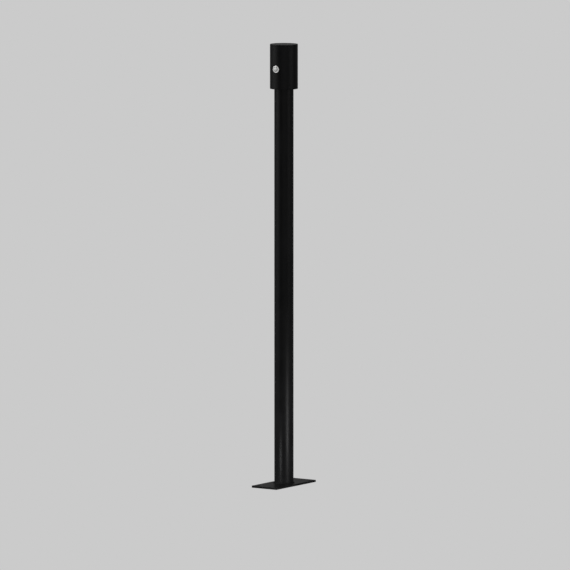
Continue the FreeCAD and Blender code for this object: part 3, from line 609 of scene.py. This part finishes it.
@dataclass
class Foot:
    """Foot plate, the weld round the post's foot, and the rubber bush under it."""

    coat: Finish
    weld_coat: Finish
    rubber: Finish
    corner: float = 1.0 * MM
    edge: float = 0.7 * MM
    bolt_hole: float = 4.5 * MM
    bolt_x: float = 25.5 * MM
    bolt_y: float = 75.0 * MM
    cable_hole: float = 16.0 * MM
    weld_leg: float = 3.0 * MM
    ripples: int = 86
    bush_bore: float = 11.0 * MM

    def build(self) -> None:
        """Make every piece of the foot."""
        self.plate()
        self.weld_bead()
        self.cable_bush()

    def outline(self, low: Vector, high: Vector) -> list[Vector]:
        """Corners of the plate's outline, with rounded corners, at its top."""
        steps = 5
        points = []
        for turn, (sx, sy) in enumerate(((1, 1), (-1, 1), (-1, -1), (1, -1))):
            middle = Vector((
                (high.x if sx > 0 else low.x) - sx * self.corner,
                (high.y if sy > 0 else low.y) - sy * self.corner,
                high.z,
            ))
            for i in range(steps + 1):
                angle = math.pi / 2 * (turn + i / steps)
                points.append(middle + self.corner * Vector((math.cos(angle), math.sin(angle), 0)))
        return points

    def plate(self) -> None:
        """Flat plate with four bolt holes and the cable hole, its top edges softened by the coat."""
        low, high = span("base_plate")
        shape = Shape()
        edges = shape.polyline(self.outline(low, high), closed=True)
        for x in (-self.bolt_x, self.bolt_x):
            for y in (-self.bolt_y, self.bolt_y):
                edges += shape.circle(self.bolt_hole, 40, Vector((x, y, high.z)))
        edges += shape.circle(self.cable_hole, 72, Vector((0, 0, high.z)))
        shape.fill(edges)
        made = bmesh.ops.extrude_face_region(shape.bm, geom=shape.bm.faces[:], use_keep_orig=True)["geom"]
        verts = [item for item in made if isinstance(item, bmesh.types.BMVert)]
        bmesh.ops.translate(shape.bm, verts=verts, vec=Vector((0, 0, low.z - high.z)))
        shape.soften(self.edge, 4, lambda middle: middle.z > high.z - 1e-5)
        shape.piece("foot_plate", Body.POST, "base_plate", self.coat)

    def weld_bead(self) -> None:
        """Fillet weld laid in short overlapping ripples."""
        low, high = span("base_weld")
        tube_radius = span("post_tube")[1].x
        across = 9
        leg = self.weld_leg
        face = []
        for i in range(across + 1):
            share = i / across
            bulge = 0.22 * leg * math.sin(math.pi * share)
            face.append((
                tube_radius + leg * (1 - share) + bulge * 0.7 - 0.02 * MM,
                low.z + leg * share + bulge * 0.7,
            ))
        section = [(tube_radius, low.z), *face]
        shape = Shape()
        shape.lathe(section, self.ripples * 8)
        draw = random.Random(7)
        drift = [draw.uniform(-0.18, 0.18) for _ in range(self.ripples)]
        height = [draw.uniform(0.7, 1.15) for _ in range(self.ripples)]
        for vert in shape.bm.verts:
            radius = math.hypot(vert.co.x, vert.co.y)
            share = (vert.co.z - low.z) / leg
            if radius < tube_radius + 0.01 * MM or share < 0.02:
                continue
            crest = 0.55 * math.sin(math.pi * min(1.0, share))
            turns = (math.atan2(vert.co.y, vert.co.x) / FULL_TURN) % 1.0 * self.ripples
            index = int(turns) % self.ripples
            phase = turns + crest + drift[index] * math.sin(math.pi * (turns % 1.0)) ** 2
            ridge = abs(math.sin(math.pi * phase)) ** 0.6
            fade = math.sin(math.pi * min(1.0, max(0.0, share))) ** 0.5
            lift = -0.20 * MM * (1 - ridge) * fade * height[index]
            outward = Vector((vert.co.x / radius, vert.co.y / radius, 0.8)).normalized()
            vert.co += outward * lift
        shape.piece("weld_bead", Body.POST, "base_weld", self.weld_coat)

    def cable_bush(self) -> None:
        """Rubber bush in the cable hole."""
        low, high = span("cable_grommet")
        plate_top = span("base_plate")[1].z
        barrel = self.cable_hole - 0.05 * MM
        shape = Shape()
        shape.lathe([
            (self.bush_bore, low.z), (barrel, low.z), (barrel, plate_top), (high.x, plate_top),
            (high.x, high.z), (self.bush_bore, high.z),
        ], 96)
        shape.soften(0.5 * MM, 4)
        shape.piece("cable_bush", Body.POST, "cable_grommet", self.rubber)


# -----------------------------------------------------------------------------
# Post and head
# -----------------------------------------------------------------------------


@dataclass
class Post:
    """The tube that carries the head."""

    coat: Finish
    wall: float = 2.6 * MM
    steps: int = 128
    rows: int = 24

    def build(self) -> None:
        """Tube with a softened top end, and level rows so that no face is needle-thin."""
        low, high = span("post_tube")
        outer = high.x
        inner = outer - self.wall
        heights = [low.z + (high.z - low.z) * i / self.rows for i in range(self.rows + 1)]
        section = [(outer, z) for z in heights] + [(inner, z) for z in reversed(heights)]
        shape = Shape()
        shape.lathe(section, self.steps)
        shape.soften(0.4 * MM, 3, lambda middle: middle.z > high.z - 1e-5)
        shape.piece("post", Body.POST, "post_tube", self.coat)


@dataclass
class Head:
    """The round head on the post: its lower ring, its shell, its lid and the lid's screws."""

    coat: Finish
    screw_finish: Finish
    wall: float = 3.0 * MM
    edge: float = 0.7 * MM
    seam: float = 0.3 * MM
    steps: int = 120
    window_cells: int = 12
    seat_radius: float = 9.3 * MM
    seat_level: float = 33.7 * MM
    hole_radius: float = 8.1 * MM
    screw_x: float = 27.0 * MM
    sink_radius: float = 4.15 * MM
    shank_hole: float = 2.15 * MM
    lid_thickness: float = 4.0 * MM
    lid_bore: float = 24.0 * MM
    spigot_gap: float = 0.1 * MM
    groove: tuple[float, float] = (1.75 * MM, 2.2 * MM)

    def build(self) -> None:
        """Make every piece of the head."""
        self.lower_ring()
        self.shell()
        self.lid()
        self.lid_screws()

    def lower_ring(self) -> None:
        """Collar on the post, with the flange that shows under the shell."""
        low, high = span("head_collar")
        shell_low, shell_high = span("head_tube")
        spigot = shell_high.x - self.wall - self.spigot_gap
        post_radius = span("post_tube")[1].x + 0.05 * MM
        depth, width = self.groove
        groove_z = shell_low.z + 4.2 * MM
        shape = Shape()
        shape.lathe([
            (post_radius, low.z), (high.x, low.z), (high.x, shell_low.z), (spigot, shell_low.z),
            (spigot, groove_z - width / 2), (spigot - depth, groove_z - width / 2),
            (spigot - depth, groove_z + width / 2), (spigot, groove_z + width / 2), (spigot, high.z),
            (post_radius, high.z),
        ], self.steps)
        shape.soften(self.edge, 4, lambda middle: middle.z < low.z + 1e-5 and middle.xy.length > high.x - MM)
        shape.soften(
            self.seam, 2,
            lambda middle: abs(middle.z - shell_low.z) < 1e-5 and middle.xy.length > high.x - MM,
        )
        shape.piece("head_ring", Body.POST, "head_collar", self.coat)

    def wall_sheet(
        self, shape: Shape, radius: float, hole: float, button: Vector
    ) -> list[bmesh.types.BMEdge]:
        """Add one skin of the shell, with a round hole for the button.

        The skin is made flat, as if unrolled, and is rolled up last.

        Args:
            shape: the mesh to add to.
            radius: the skin's radius about the head's axis.
            hole: the hole's radius, seen along the button's axis.
            button: centre of the button.

        Returns:
            The edges round the hole.
        """
        low, high = span("head_tube")
        cell = FULL_TURN * radius / self.steps
        half = cell * self.window_cells / 2
        margin = 5
        rows = margin + self.window_cells + margin
        grid = bmesh.ops.create_grid(shape.bm, x_segments=self.steps, y_segments=rows, size=0.5)["verts"]
        heights = [low.z + (button.z - half - low.z) * i / margin for i in range(margin)]
        heights += [button.z - half + cell * i for i in range(self.window_cells + 1)]
        heights += [button.z + half + (high.z - button.z - half) * (i + 1) / margin for i in range(margin)]
        for vert in grid:
            vert.co = Vector((vert.co.x * FULL_TURN * radius, 0, heights[round((vert.co.y + 0.5) * rows)]))
        window = []
        for face in {f for v in grid for f in v.link_faces}:
            middle = face.calc_center_median()
            if abs(middle.x) < half and abs(middle.z - button.z) < half:
                window.append(face)
        rim = [e for e in {e for f in window for e in f.edges} if any(f not in window for f in e.link_faces)]
        bmesh.ops.delete(shape.bm, geom=window, context="FACES")
        edge = shape.pull(rim, lambda co: self.on_hole(co, hole, button, radius))
        spokes = {e for h in edge for v in h.verts for e in v.link_edges if e not in edge}
        bmesh.ops.subdivide_edges(shape.bm, edges=list(spokes), cuts=3, use_grid_fill=True)
        for vert in {v for v in shape.bm.verts if abs(v.co.y) < 1e-9}:
            angle = vert.co.x / radius
            vert.co = Vector((radius * math.sin(angle), -radius * math.cos(angle), vert.co.z))
        return edge

    @staticmethod
    def on_hole(place: Vector, hole: float, button: Vector, radius: float) -> Vector:
        """The point of the hole's edge that belongs to a point on the edge of the square window.

        Args:
            place: a point on the edge of the window, on the unrolled skin.
            hole: the hole's radius, seen along the button's axis.
            button: centre of the button.
            radius: the skin's radius about the head's axis.

        Returns:
            The point on the unrolled skin. The hole is round once the skin is rolled up.
        """
        across = place.x
        up = place.z - button.z
        if abs(across) >= abs(up):
            angle = math.pi / 4 * up / across + (math.pi if across < 0 else 0)
        else:
            angle = math.pi / 2 * math.copysign(1, up) - math.pi / 4 * across / up
        along = radius * math.asin(hole * math.cos(angle) / radius)
        return Vector((along, 0, button.z + hole * math.sin(angle)))

    def shell(self) -> None:
        """Tube with a spot-faced seat and a hole for the button.

        Known fault: some faces of the finished mesh point inwards, and a dark line shows on its -X side.
        """
        low, high = span("head_tube")
        button_low, button_high = span("button_bezel")
        button = (button_low + button_high) / 2
        outer = high.x
        inner = outer - self.wall
        shape = Shape()
        seat = self.wall_sheet(shape, outer, self.seat_radius, button)
        floor = shape.pull(seat, lambda co: Vector((co.x, -self.seat_level, co.z)))
        share = self.hole_radius / self.seat_radius
        throat = shape.pull(
            floor, lambda co: Vector((co.x * share, co.y, button.z + (co.z - button.z) * share))
        )
        shape.pull(throat, lambda co: Vector((co.x, -math.sqrt(inner ** 2 - co.x ** 2), co.z)))
        self.wall_sheet(shape, inner, self.hole_radius, button)
        shape.weld(2e-6)
        for level in (low.z, high.z):
            rim = [
                e for e in shape.bm.edges
                if e.is_boundary and all(abs(v.co.z - level) < 1e-6 for v in e.verts)
            ]
            bmesh.ops.bridge_loops(shape.bm, edges=rim)
        shape.soften(
            self.seam, 2,
            lambda middle: middle.xy.length > outer - MM
            and min(abs(middle.z - low.z), abs(middle.z - high.z)) < 1e-5,
        )
        shape.piece("head_shell", Body.POST, "head_tube", self.coat)

    def lid(self) -> None:
        """Lid with a rounded edge, two countersunk holes, and a grooved spigot underneath."""
        low, high = span("head_cap")
        under = high.z - self.lid_thickness
        spigot = high.x - self.wall - self.spigot_gap
        depth, width = self.groove
        groove_z = under - 4.0 * MM
        shape = Shape()
        rim = shape.circle(high.x, self.steps, Vector((0, 0, high.z)))
        holes = []
        for x in (-self.screw_x, self.screw_x):
            holes.append(shape.circle(self.sink_radius, 36, Vector((x, 0, high.z))))
        shape.fill(rim + holes[0] + holes[1])
        for x, loop in zip((-self.screw_x, self.screw_x), holes):
            centre = Vector((x, 0, 0))
            share = self.shank_hole / self.sink_radius
            drop = self.sink_radius - self.shank_hole
            neck = shape.pull(
                loop,
                lambda co, c=centre: c + (co - c) * share + Vector((0, 0, co.z * (1 - share) - drop)),
            )
            shape.pull(neck, lambda co: Vector((co.x, co.y, low.z)))
        down = shape.pull(rim, lambda co: Vector((co.x, co.y, under)))
        for radius, height in (
            (spigot, under), (spigot, groove_z + width / 2), (spigot - depth, groove_z + width / 2),
            (spigot - depth, groove_z - width / 2), (spigot, groove_z - width / 2), (spigot, low.z),
        ):
            down = shape.pull(down, lambda co, r=radius, z=height: self.on_ring(co, r, z))
        bore = shape.circle(self.lid_bore, self.steps, Vector((0, 0, low.z)))
        feet = [
            e for e in shape.bm.edges
            if e.is_boundary and all(abs(v.co.z - low.z) < 1e-6 for v in e.verts) and e not in down
        ]
        feet = [e for e in feet if e not in bore]
        shape.fill(down + bore + feet)
        roof = shape.pull(bore, lambda co: Vector((co.x, co.y, under)))
        shape.fill(roof)
        shape.weld()
        shape.soften(
            self.edge, 4, lambda middle: middle.z > high.z - 1e-5 and middle.xy.length > high.x - MM
        )
        shape.soften(
            self.seam, 2, lambda middle: abs(middle.z - under) < 1e-5 and middle.xy.length > high.x - MM
        )
        shape.soften(
            0.15 * MM, 2, lambda middle: middle.z > high.z - 1e-5 and middle.xy.length < high.x - 2 * MM
        )
        shape.piece("head_lid", Body.POST, "head_cap", self.coat)

    @staticmethod
    def on_ring(place: Vector, radius: float, height: float) -> Vector:
        """The point of a level ring in the direction of a place."""
        flat = place.xy.normalized() * radius
        return Vector((flat.x, flat.y, height))

    def lid_screws(self) -> None:
        """Countersunk screws with a hexagon socket and a security pin."""
        low, high = span("cap_screws")
        head = 3.85 * MM
        shank = 2.0 * MM
        flats = 2.5 * MM
        depth = 1.9 * MM
        pin = 0.5 * MM
        steps = 36
        shape = Shape()
        rim = shape.circle(head, steps, Vector((0, 0, high.z)))
        side = steps // 6
        corners = []
        for i in range(steps):
            start, end = (
                Vector((math.cos(math.pi / 3 * corner), math.sin(math.pi / 3 * corner), 0))
                for corner in (i // side, i // side + 1)
            )
            place = start.lerp(end, i % side / side) * (flats / math.sqrt(3))
            corners.append(Vector((place.x, place.y, high.z)))
        mouth = shape.polyline(corners, closed=True)
        bmesh.ops.bridge_loops(shape.bm, edges=rim + mouth)
        floor = shape.pull(mouth, lambda co: Vector((co.x, co.y, high.z - depth)))
        foot = shape.circle(pin, steps, Vector((0, 0, high.z - depth)))
        bmesh.ops.bridge_loops(shape.bm, edges=floor + foot)
        tip = shape.pull(foot, lambda co: Vector((co.x, co.y, high.z - 0.3 * MM)))
        shape.fill(tip)
        side_loop = rim
        for radius, height in (
            (head, high.z - 0.15 * MM), (shank, high.z - 2.0 * MM), (shank, low.z + 0.4 * MM),
            (shank - 0.4 * MM, low.z),
        ):
            side_loop = shape.pull(side_loop, lambda co, r=radius, z=height: self.on_ring(co, r, z))
        shape.fill(side_loop)
        shape.weld()
        shape.copied_to([Vector((x, 0, 0)) for x in (-self.screw_x, self.screw_x)])
        shape.piece("lid_screws", Body.POST, "cap_screws", self.screw_finish)


# -----------------------------------------------------------------------------
# Button
# -----------------------------------------------------------------------------


@dataclass
class Button:
    """The metal push-button: a flange and barrel that stay, and a domed cap that moves."""

    flange_finish: Finish
    cap_finish: Finish
    seal_finish: Finish
    spring_finish: Finish
    flange_thickness: float = 2.4 * MM
    bore: float = 6.3 * MM
    thread: float = 7.95 * MM
    thread_depth: float = 0.5 * MM
    pitch: float = 1.0 * MM
    steps: int = 96
    spring_wire: float = 0.35 * MM
    spring_radius: float = 4.2 * MM
    spring_turns: int = 5

    def build(self) -> None:
        """Make the pieces of the button that show, and its spring."""
        self.flange()
        self.cap()
        self.gasket()
        self.spring()

    def lay(self, shape: Shape, node: str) -> None:
        """Turn a shape made about Z so that its top faces the front, on the button's axis."""
        low, high = span(node)
        shape.turn(math.pi / 2, "X")
        shape.shift(Vector((0, 0, (low.z + high.z) / 2)))

    def flange(self) -> None:
        """Flange with a dished face and a threaded barrel."""
        low, high = span("button_bezel")
        face = -low.y
        back = face - self.flange_thickness
        tail = -high.y
        edge = high.x
        root = self.thread - self.thread_depth
        turns = int((back - 1.8 * MM - tail) / self.pitch)
        thread = []
        for i in range(turns):
            start = tail + 0.6 * MM + i * self.pitch
            thread += [
                (root, start), (self.thread - 0.06 * MM, start + 0.42 * self.pitch),
                (self.thread - 0.06 * MM, start + 0.54 * self.pitch),
            ]
        shoulder = (28.0 * MM, 25.0 * MM)
        stem = 2.58 * MM
        shape = Shape()
        shape.lathe([
            (self.bore, tail), (root, tail), *thread, (root, back - 1.2 * MM), (root, back), (edge, back),
            (edge, face - 0.75 * MM), (edge - 0.75 * MM, face), (edge - 1.5 * MM, face),
            (self.bore + 0.25 * MM, face - 0.12 * MM), (self.bore, face - 0.37 * MM),
            (self.bore, shoulder[0]), (stem, shoulder[0]), (stem, shoulder[1]), (self.bore, shoulder[1]),
        ], self.steps)
        shape.soften(0.16 * MM, 3, lambda middle: middle.z > back - 1e-5 and middle.xy.length > edge - MM)
        self.lay(shape, "button_bezel")
        shape.piece("button_flange", Body.POST, "button_bezel", self.flange_finish)

    def cap(self) -> None:
        """Domed cap with a rounded edge, hollow behind."""
        low, high = span("button_cap")
        crown = -low.y
        back = -high.y
        radius = high.x
        dome = 0.6 * MM
        roof = 35.0 * MM
        skirt_bore = 4.9 * MM
        spigot = 1.52 * MM
        rows = 14
        edge = 0.3 * MM
        face = []
        for i in range(rows + 1):
            at = (radius - edge) * (1 - i / rows)
            face.append((at, crown - dome * (at / radius) ** 2))
        shape = Shape()
        shape.lathe([
            (radius, back), (radius, crown - dome - edge), (radius - edge * 0.3, crown - dome - edge * 0.3),
            *face,
        ], self.steps, closed=False)
        shape.lathe([
            (radius, back), (skirt_bore, back), (skirt_bore, roof), (spigot, roof), (spigot, roof + MM),
            (0.0, roof + MM),
        ], self.steps, closed=False)
        shape.weld()
        self.lay(shape, "button_cap")
        shape.piece("push_cap", Body.BUTTON, "button_cap", self.cap_finish)

    def gasket(self) -> None:
        """Thin seal under the flange."""
        low, high = span("button_gasket")
        shape = Shape()
        inner = self.thread + 0.05 * MM
        shape.lathe([(inner, -high.y), (high.x, -high.y), (high.x, -low.y), (inner, -low.y)], self.steps)
        shape.soften(0.12 * MM, 2)
        self.lay(shape, "button_gasket")
        shape.piece("flange_gasket", Body.POST, "button_gasket", self.seal_finish)

    def spring(self) -> None:
        """Coil behind the cap, which shortens as the cap goes in."""
        low, high = span("return_spring")
        front = -low.y - self.spring_wire
        back = -high.y + self.spring_wire
        steps = 36 * self.spring_turns
        shape = Shape()
        wire = Matrix.Translation((self.spring_radius, 0, back)) @ Matrix.Rotation(math.pi / 2, 4, "X")
        made = bmesh.ops.create_circle(shape.bm, segments=14, radius=self.spring_wire, matrix=wire)["verts"]
        loop = list({e for v in made for e in v.link_edges})
        bmesh.ops.spin(
            shape.bm, geom=made + loop, cent=(0, 0, 0), axis=(0, 0, 1), dvec=(0, 0, (front - back) / steps),
            angle=FULL_TURN * self.spring_turns, steps=steps,
        )
        shape.weld()
        bmesh.ops.holes_fill(shape.bm, edges=shape.bm.edges[:], sides=0)
        self.lay(shape, "button_bezel")
        coil = shape.piece("coil_spring", Body.POST, "return_spring", self.spring_finish)
        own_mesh(coil)


@dataclass
class Inside:
    """Pieces inside the head and the post, which keep their CAD shape."""

    finishes: dict[str, Finish] = field(default_factory=dict)

    def dress(self) -> None:
        """Give every CAD node that still shows the finish of its record slot."""
        for entry in frame["record"]["subparts"]:
            piece = frame["nodes"][entry["node"]]
            if piece.hide_render:
                continue
            finish = self.finishes[entry["material_slot"]]
            finish.dress(piece)
            LOG.info("%s: CAD shape, finish %s", entry["node"], finish.name)


# -----------------------------------------------------------------------------
# Studio
# -----------------------------------------------------------------------------


@dataclass
class Softbox:
    """A soft rectangular light, turned to the object.

    Azimuth is counted from the front, the button's side, towards +X, in degrees. The panel's centre stands at
    its height, and the panel faces the axis of the post at its aim height.
    """

    name: str
    azimuth: float
    distance: float
    height: float
    width: float
    tall: float
    radiance: float
    aim_height: float = 0.6

    def build(self) -> None:
        """Add the light."""
        data = bpy.data.lights.new(self.name, "AREA")
        data.shape = "RECTANGLE"
        data.size = self.width
        data.size_y = self.tall
        data.energy = math.pi * self.width * self.tall * self.radiance
        lamp = bpy.data.objects.new(self.name, data)
        angle = math.radians(self.azimuth)
        lamp.location = (self.distance * math.sin(angle), -self.distance * math.cos(angle), self.height)
        way = Vector((0, 0, self.aim_height)) - lamp.location
        lamp.rotation_euler = way.to_track_quat("-Z", "Y").to_euler()
        lamp.visible_camera = False
        bpy.context.scene.collection.objects.link(lamp)


@dataclass
class Studio:
    """Pale floor and backdrop, soft lights, and the camera."""

    view_azimuth: float = 34.2
    distance: float = 18.45
    eye_height: float = 2.590
    pitch: float = 6.4439
    aim_right: float = 0.0085
    lens: float = 467.05
    backdrop_level: float = 0.597
    room_level: float = 0.146

    def softboxes(self) -> list[Softbox]:
        """Panels round the post, and two small ones near the floor that put streaks on its foot."""
        return [
            Softbox("left_panel", -47, 6.0, 1.1, 5.0, 1.8, 1.9),
            Softbox("left_high_panel", -71, 4.3, 4.8, 3.0, 3.0, 5.1),
            Softbox("front_panel", 39, 6.0, 1.4, 5.5, 2.2, 0.72),
            Softbox("right_panel", 96, 6.0, 1.4, 3.6, 2.2, 1.4),
            Softbox("back_high_panel", 206, 4.5, 4.6, 3.0, 3.0, 0.8),
            Softbox("right_floor_strip", 75.2, 0.45, 0.10, 0.05, 0.13, 44.0, 0.10),
            Softbox("left_floor_strip", -2.8, 0.25, 0.04, 0.035, 0.06, 22.0, 0.05),
        ]

    def build(self) -> None:
        """Make the camera, the lights, the floor and the surroundings."""
        self.camera()
        self.floor()
        self.surroundings()
        for softbox in self.softboxes():
            softbox.build()
        view = bpy.context.scene.view_settings
        view.view_transform = "Standard"
        view.look = "None"

    def camera(self) -> None:
        """Long lens from the front right, a little above the head."""
        data = bpy.data.cameras.new("camera")
        data.lens = self.lens
        data.sensor_width = 36.0
        data.clip_end = 200.0
        camera = bpy.data.objects.new("camera", data)
        angle = math.radians(self.view_azimuth)
        camera.location = (self.distance * math.sin(angle), -self.distance * math.cos(angle), self.eye_height)
        turn = angle - math.radians(self.aim_right)
        camera.rotation_euler = (math.radians(90 - self.pitch), 0, turn)
        bpy.context.scene.collection.objects.link(camera)
        bpy.context.scene.camera = camera

    def floor(self) -> None:
        """Pale floor that keeps its tone under the object."""
        shape = Shape()
        shape.fill(shape.circle(60.0, 96, Vector((0, 0, -0.0002))))
        mesh = bpy.data.meshes.new("floor")
        shape.bm.to_mesh(mesh)
        shape.bm.free()
        floor = bpy.data.objects.new("floor", mesh)
        floor.visible_glossy = False
        floor.visible_diffuse = False
        bpy.context.scene.collection.objects.link(floor)
        made = bpy.data.materials.new("pale_floor")
        made.use_nodes = True
        web = ShaderWeb(made.node_tree)
        glow = web.node("ShaderNodeEmission", {}, Color=(1, 1, 1, 1), Strength=self.backdrop_level)
        web.node("ShaderNodeOutputMaterial", {}, Surface=glow)
        mesh.materials.append(made)

    def surroundings(self) -> None:
        """Even backdrop, and an even, dimmer room for the lighting."""
        world = bpy.data.worlds.new("room")
        bpy.context.scene.world = world
        world.use_nodes = True
        web = ShaderWeb(world.node_tree)
        backdrop = web.node(
            "ShaderNodeBackground", {}, Color=(1, 1, 1, 1), Strength=self.backdrop_level
        )
        room = web.node("ShaderNodeBackground", {}, Color=(1, 1, 1, 1), Strength=self.room_level)
        rays = web.node("ShaderNodeLightPath", {})
        seen = Signal(web, rays.socket.node.outputs["Is Camera Ray"])
        surface = web.node("ShaderNodeMixShader", {}, seen, room, backdrop)
        web.node("ShaderNodeOutputWorld", {}, Surface=surface)


def main() -> None:
    """Build the model and its studio."""
    black_coat = PowderCoat("black_powder_coat", "black_coat")
    weld_coat = PowderCoat("coat_on_weld", "black_coat", roughness=0.62, specular=0.08, dust=0.0, flow=0.0)
    button_low, button_high = span("button_bezel")
    button_z = (button_low.z + button_high.z) / 2
    flange_steel = TurnedSteel("turned_stainless", "stainless_button", centre=(0.0, button_z))
    cap_steel = BlastedSteel("blasted_stainless", "stainless_button")
    rubber = Moulding(
        "black_rubber", "black_rubber", colour=(0.016, 0.016, 0.016), pale_colour=(0.026, 0.026, 0.025),
        roughness=0.72,
    )
    black_screw = PlatedSteel(
        "blackened_steel", "black_screws", colour=(0.045, 0.045, 0.048), dark_colour=(0.02, 0.02, 0.021),
        roughness=0.42,
    )
    finishes = {
        "black_coat": black_coat,
        "stainless_button": PlatedSteel("bright_stainless", "stainless_button", roughness=0.24),
        "black_screws": black_screw,
        "zinc_steel": PlatedSteel("zinc_plate", "zinc_steel"),
        "spring_steel": PlatedSteel(
            "spring_wire", "spring_steel", colour=(0.46, 0.46, 0.47), dark_colour=(0.30, 0.30, 0.31)
        ),
        "black_rubber": rubber,
        "grey_plastic": Moulding(
            "grey_polyamide", "grey_plastic", colour=(0.36, 0.37, 0.37), pale_colour=(0.42, 0.43, 0.43)
        ),
        "black_plastic": Moulding("black_polyamide", "black_plastic"),
        "brass": PlatedSteel(
            "machined_brass", "brass", colour=(0.78, 0.57, 0.27), dark_colour=(0.58, 0.40, 0.18),
            roughness=0.28,
        ),
        "tinned_copper": PlatedSteel(
            "tinned_copper", "tinned_copper", colour=(0.70, 0.68, 0.64), dark_colour=(0.52, 0.50, 0.46)
        ),
        "blue_lead": Insulation("blue_insulation", "blue_lead"),
        "green_lead": Insulation(
            "green_yellow_insulation", "green_lead", colour=(0.05, 0.28, 0.05),
            stripe_colour=(0.75, 0.60, 0.04),
        ),
        "red_sleeve": Moulding(
            "red_sleeve", "red_sleeve", colour=(0.42, 0.03, 0.025), pale_colour=(0.50, 0.05, 0.04),
            roughness=0.45,
        ),
    }
    Studio().build()
    Foot(black_coat, weld_coat, rubber).build()
    Post(black_coat).build()
    Head(black_coat, black_screw).build()
    Button(flange_steel, cap_steel, rubber, finishes["spring_steel"]).build()
    Inside(finishes).dress()


if __name__ == "__main__":
    main()
